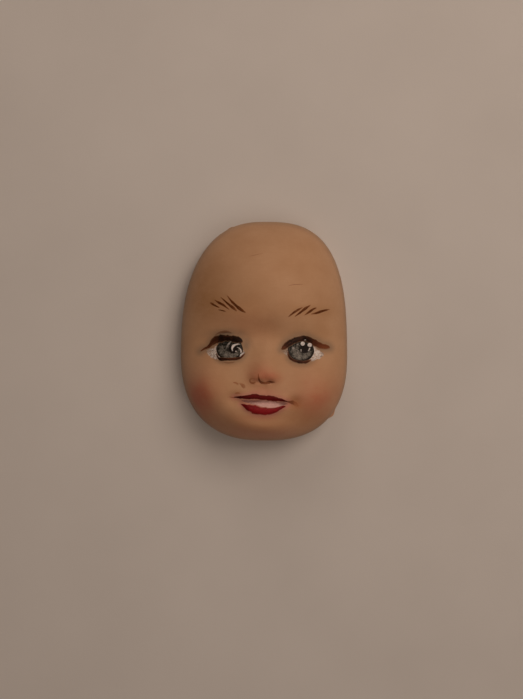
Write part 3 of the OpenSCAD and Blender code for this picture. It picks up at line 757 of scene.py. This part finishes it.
def paint_material(name, tone_group, light, dark, rough, specular=0.12, opacity=1.0, streak=0.35,
                   ridge_mm=0.03, mottled=0.15, grit=0.0, under=None):
    """Acrylic paint: two tones streaked along the stroke and mottled, thinning at its edges to what lies
    under it, which is the clay if no colour is given. grit is how far that shows through."""
    material, n, shader = new_material(name)
    brush = n.attribute("brush")
    axes = n.add("ShaderNodeSeparateXYZ", None, Vector=brush.outputs["Vector"])
    tone = n.attribute("tone").outputs["Fac"]
    at = n.place()
    streaks = n.noise(n.stretch(brush.outputs["Vector"], (0.9, 5.0, 0.0)), 1.0, 3.0, 0.6)
    mottle = n.noise(at, 2.6, 3.0, 0.65)
    shift = n.math("ADD", n.vary(streaks, -streak, streak), n.vary(mottle, -mottled, mottled))
    paint = n.mix(n.clamped("ADD", tone, shift), light, dark)
    worn = n.span(n.noise(at, 1.7, 2.0, 0.6), 0.36, 0.52, (1 - grit) * opacity, opacity)
    cover = n.math("MULTIPLY", axes.outputs[2], worn)
    if under is None:
        under = n.add("ShaderNodeGroup", {"node_tree": tone_group}).outputs[0]
    n.put(shader.inputs["Base Color"], n.mix(cover, under, paint))
    n.put(shader.inputs["Roughness"], n.vary(streaks, rough - 0.07, rough + 0.09))
    shader.inputs["Specular IOR Level"].default_value = specular
    n.put(shader.inputs["Normal"], n.bump(streaks, ridge_mm, n.bump(mottle, 0.012)))
    return material


def floor_material():
    material, n, shader = new_material("pale_paper")
    at = n.place()
    tint = n.vary(n.noise(at, 0.03, 3.0), 0.0, 1.0)
    n.put(shader.inputs["Base Color"], n.mix(tint, rgb(0.73, 0.71, 0.69), rgb(0.69, 0.67, 0.65)))
    n.put(shader.inputs["Normal"], n.bump(n.noise(at, 2.5, 3.0), 0.02))
    shader.inputs["Roughness"].default_value = 0.9
    shader.inputs["Specular IOR Level"].default_value = 0.2
    return material


tone_group = skin_tone()


def paint(name, light, dark, rough, **options):
    return paint_material(name, tone_group, light, dark, rough, **options)


CLAY_SKIN = clay_material(tone_group)
UNDER_IRIS = rgb(0.060, 0.058, 0.050)
WHITE = paint("off_white_acrylic", rgb(0.88, 0.81, 0.77), rgb(0.17, 0.115, 0.085), 0.45, specular=0.3,
              streak=0.3, mottled=0.55, grit=0.5)
IRIS = paint("grey_iris_acrylic", rgb(0.27, 0.25, 0.22), rgb(0.012, 0.012, 0.009), 0.4, streak=0.1,
             mottled=0.5, under=UNDER_IRIS)
DARK = paint("umber_black_acrylic", rgb(0.22, 0.066, 0.028), rgb(0.012, 0.006, 0.004), 0.42, specular=0.08,
             streak=0.15, mottled=0.1)
BLACK = paint("black_acrylic", rgb(0.07, 0.045, 0.034), rgb(0.010, 0.007, 0.006), 0.4, streak=0.15,
              under=UNDER_IRIS)
SHINE = paint("white_acrylic", rgb(0.90, 0.84, 0.82), rgb(0.22, 0.20, 0.18), 0.3, specular=0.4, streak=0.2,
              mottled=0.25, under=UNDER_IRIS)
HAIR = paint("red_brown_acrylic", rgb(0.26, 0.080, 0.022), rgb(0.095, 0.025, 0.006), 0.5, grit=0.1)
WASH = paint("brown_wash", rgb(0.42, 0.150, 0.060), rgb(0.095, 0.021, 0.010), 0.5, opacity=0.9, grit=0.15)
LIP_DARK = paint("dark_crimson_acrylic", rgb(0.155, 0.008, 0.009), rgb(0.045, 0.005, 0.004), 0.42,
                 specular=0.04)
LIP_RED = paint("crimson_acrylic", rgb(0.310, 0.012, 0.016), rgb(0.120, 0.005, 0.007), 0.4, specular=0.1,
                streak=0.5, mottled=0.3, ridge_mm=0.045)
ENAMEL = paint("pinkish_white_acrylic", rgb(0.76, 0.46, 0.42), rgb(0.25, 0.110, 0.090), 0.42,
               specular=0.25, streak=0.2)

# ---------------------------------------------------------------------------------------------
# Pieces
# ---------------------------------------------------------------------------------------------
# Heights over the clay at which the layers of an eye and a mouth start
IRIS_LIFT, RIM_LIFT, PUPIL_LIFT, SHINE_LIFT = 0.04, 0.05, 0.07, 0.09
LID_LIFT, LIP_LIFT = 0.07, 0.04
# How thick they are where the paint is fullest
WHITE_THICK, IRIS_THICK, RIM_THICK, PUPIL_THICK = 0.035, 0.02, 0.03, 0.012
SHINE_THICK, BEAD_THICK = 0.08, 0.09
OVERPAINT = 0.012             # each stroke of a set lies a little over the one before
SEED_STEP = 1.9


def strokes(paths, lift, thick, steps=6, seed=0.0, tilt=0.0):
    return [film_stroke(path, lift + i * OVERPAINT, thick, steps, seed + SEED_STEP * i, tilt)
            for i, path in enumerate(paths)]


def iris_shade(side):
    """Darkest at the rim, under the lid, where it is painted shade, and by the pupil, with paler dabs low
    down and at the left.
    """
    def shade(share, angle):
        x, y = share * np.cos(angle), share * np.sin(angle)
        # painted shade: the iris darkens towards its top, under the lid
        rim = 0.5 * smooth(0.7, 1.0, share) + 0.5 * smooth(0.05, 0.7, y)
        low = 0.45 * bump(x, y, -0.1 * side, -0.62, 0.6, 0.2)
        pale = 0.3 * bump(x, y, -0.5 + 0.15 * side, 0.0, 0.2, 0.3) + 0.2 * bump(x, y, 0.55, -0.3, 0.2, 0.3)
        spokes = 0.12 * np.sin(9 * angle + 2 * side) * smooth(0.3, 0.7, share)
        return 0.75 + rim - low - pale + spokes
    return shade


def make_eye(side, sign, white, disc, pupil):
    film(f"eye_white_film_{side}", f"eye_white_{side}", "white_paint", WHITE,
         strokes([white], 0, WHITE_THICK, 10, 3.0 + sign))
    film(f"iris_film_{side}", f"iris_{side}", "iris_paint", IRIS,
         [film_dab(disc, IRIS_LIFT, IRIS_THICK, 5.0 + sign, rings=14, sides=72, shade=iris_shade(sign))])
    film(f"pupil_film_{side}", f"pupil_{side}", "dark_paint", BLACK,
         [film_dab(pupil, PUPIL_LIFT, PUPIL_THICK, 8.0 + sign, tone=0.95)])


def make_iris_rim(side, disc, start, end):
    film(f"iris_rim_film_{side}", f"iris_rim_{side}", "dark_paint", BLACK,
         strokes([iris_rim(disc, start, end)], RIM_LIFT, RIM_THICK))


def make_highlights(side, streaks, dots):
    beads = [film_dab(dot, SHINE_LIFT, BEAD_THICK, 2.0 + i, 5, 24, dot[4], crown_power=2.5)
             for i, dot in enumerate(dots)]
    film(f"eye_highlight_film_{side}", f"eye_highlights_{side}", "highlight_paint", SHINE,
         strokes(streaks, SHINE_LIFT, SHINE_THICK, 6, 4.0) + beads)


# Piece, node, slot, paint, strokes, height over the clay, thickness, seed
BRUSHWORK = (
    ("upper_lid_film_left", "upper_lid_line_left", "dark_paint", DARK,
     UPPER_LID_LEFT, LID_LIFT, 0.09, 1.0),
    ("upper_lid_film_right", "upper_lid_line_right", "dark_paint", DARK,
     UPPER_LID_RIGHT, LID_LIFT, 0.09, 2.0),
    ("lower_lid_film_left", "lower_lid_line_left", "dark_paint", DARK,
     LOWER_LID_LEFT, LID_LIFT, 0.06, 3.0),
    ("lower_lid_film_right", "lower_lid_line_right", "dark_paint", DARK,
     LOWER_LID_RIGHT, LID_LIFT, 0.06, 4.0),
    ("brow_hair_film_left", "brow_hairs_left", "brow_paint", HAIR, hairs(BROW_LEFT), 0, 0.06, 5.0),
    ("brow_hair_film_right", "brow_hairs_right", "brow_paint", HAIR, hairs(BROW_RIGHT), 0, 0.06, 6.0),
    ("nostril_film", "nostril_strokes", "brown_wash", WASH, NOSTRILS, 0, 0.03, 7.0),
    ("teeth_film", "teeth", "teeth_paint", ENAMEL, [TEETH], 0, 0.03, 9.0),
    ("upper_lip_film", "upper_lip", "lip_dark_paint", LIP_DARK, [UPPER_LIP], LIP_LIFT, 0.07, 8.0),
    ("lower_lip_film", "lower_lip", "lip_red_paint", LIP_RED, [LOWER_LIP], LIP_LIFT, 0.09, 10.0),
    ("mouth_corner_film", "mouth_corner_strokes", "brown_wash", WASH, MOUTH_CORNERS, 0, 0.03, 11.0),
    ("stray_mark_film", "stray_paint_marks", "brown_wash", WASH, STRAY_MARKS, 0, 0.02, 12.0),
)
# The teeth are darker along their top: painted shade under the upper lip.
TONE_TILT = {"teeth": -0.55, "lower_lip": 0.1}     # tone gained from a stroke's middle to its lower side

make_face(CLAY_SKIN)
make_eye("left", -1, WHITE_LEFT, IRIS_LEFT, PUPIL_LEFT)
make_eye("right", 1, WHITE_RIGHT, IRIS_RIGHT, PUPIL_RIGHT)
make_iris_rim("left", IRIS_LEFT, 150, 390)
make_iris_rim("right", IRIS_RIGHT, 140, 400)
make_highlights("left", STREAKS_LEFT, DOTS_LEFT)
make_highlights("right", STREAKS_RIGHT, DOTS_RIGHT)
for name, node, slot, material, paths, lift, thick, seed in BRUSHWORK:
    film(name, node, slot, material, strokes(paths, lift, thick, 8, seed, TONE_TILT.get(node, 0.0)))

# ---------------------------------------------------------------------------------------------
# Floor and light
# ---------------------------------------------------------------------------------------------
FLOOR_HALF = 600.0
FLOOR_Z = -0.03
WARM = (1.0, 0.80, 0.66)
ROOM = (0.58, 0.46, 0.38, 1)
ROOM_STRENGTH = 0.02
# Name, azimuth, elevation, distance and size in metres, watts
LIGHTS = (("key", 44, 56, 0.5, 0.27, 0.60), ("overhead", 55, 76, 0.6, 0.32, 0.42),
          ("window", 98, 38, 0.6, 0.32, 0.43), ("fill", 305, 58, 0.8, 0.5, 0.88))


def make_floor():
    mesh = bpy.data.meshes.new("floor")
    far = FLOOR_HALF * MM
    z = FLOOR_Z * MM
    mesh.from_pydata([(-far, -far, z), (far, -far, z), (far, far, z), (-far, far, z)], [], [(0, 1, 2, 3)])
    mesh.materials.append(floor_material())
    floor = bpy.data.objects.new("floor", mesh)
    bpy.context.collection.objects.link(floor)


def soft_light(name, azimuth, elevation, distance, size, watts):
    """A round lamp aimed at the face. Azimuth runs from +X towards +Y."""
    a, e = math.radians(azimuth), math.radians(elevation)
    at = Vector((math.cos(e) * math.cos(a), math.cos(e) * math.sin(a), math.sin(e))) * distance
    data = bpy.data.lights.new(name, "AREA")
    data.shape = "DISK"
    data.size = size
    data.energy = watts
    data.color = WARM
    lamp = bpy.data.objects.new(name, data)
    lamp.location = at
    lamp.rotation_mode = "QUATERNION"
    lamp.rotation_quaternion = at.to_track_quat("Z", "Y")
    bpy.context.collection.objects.link(lamp)


def make_world():
    world = bpy.data.worlds.new("room")
    bpy.context.scene.world = world
    world.use_nodes = True
    background = world.node_tree.nodes["Background"]
    background.inputs[0].default_value = ROOM
    background.inputs[1].default_value = ROOM_STRENGTH


make_floor()
for light in LIGHTS:
    soft_light(*light)
make_world()
bpy.context.scene.view_settings.view_transform = "Standard"
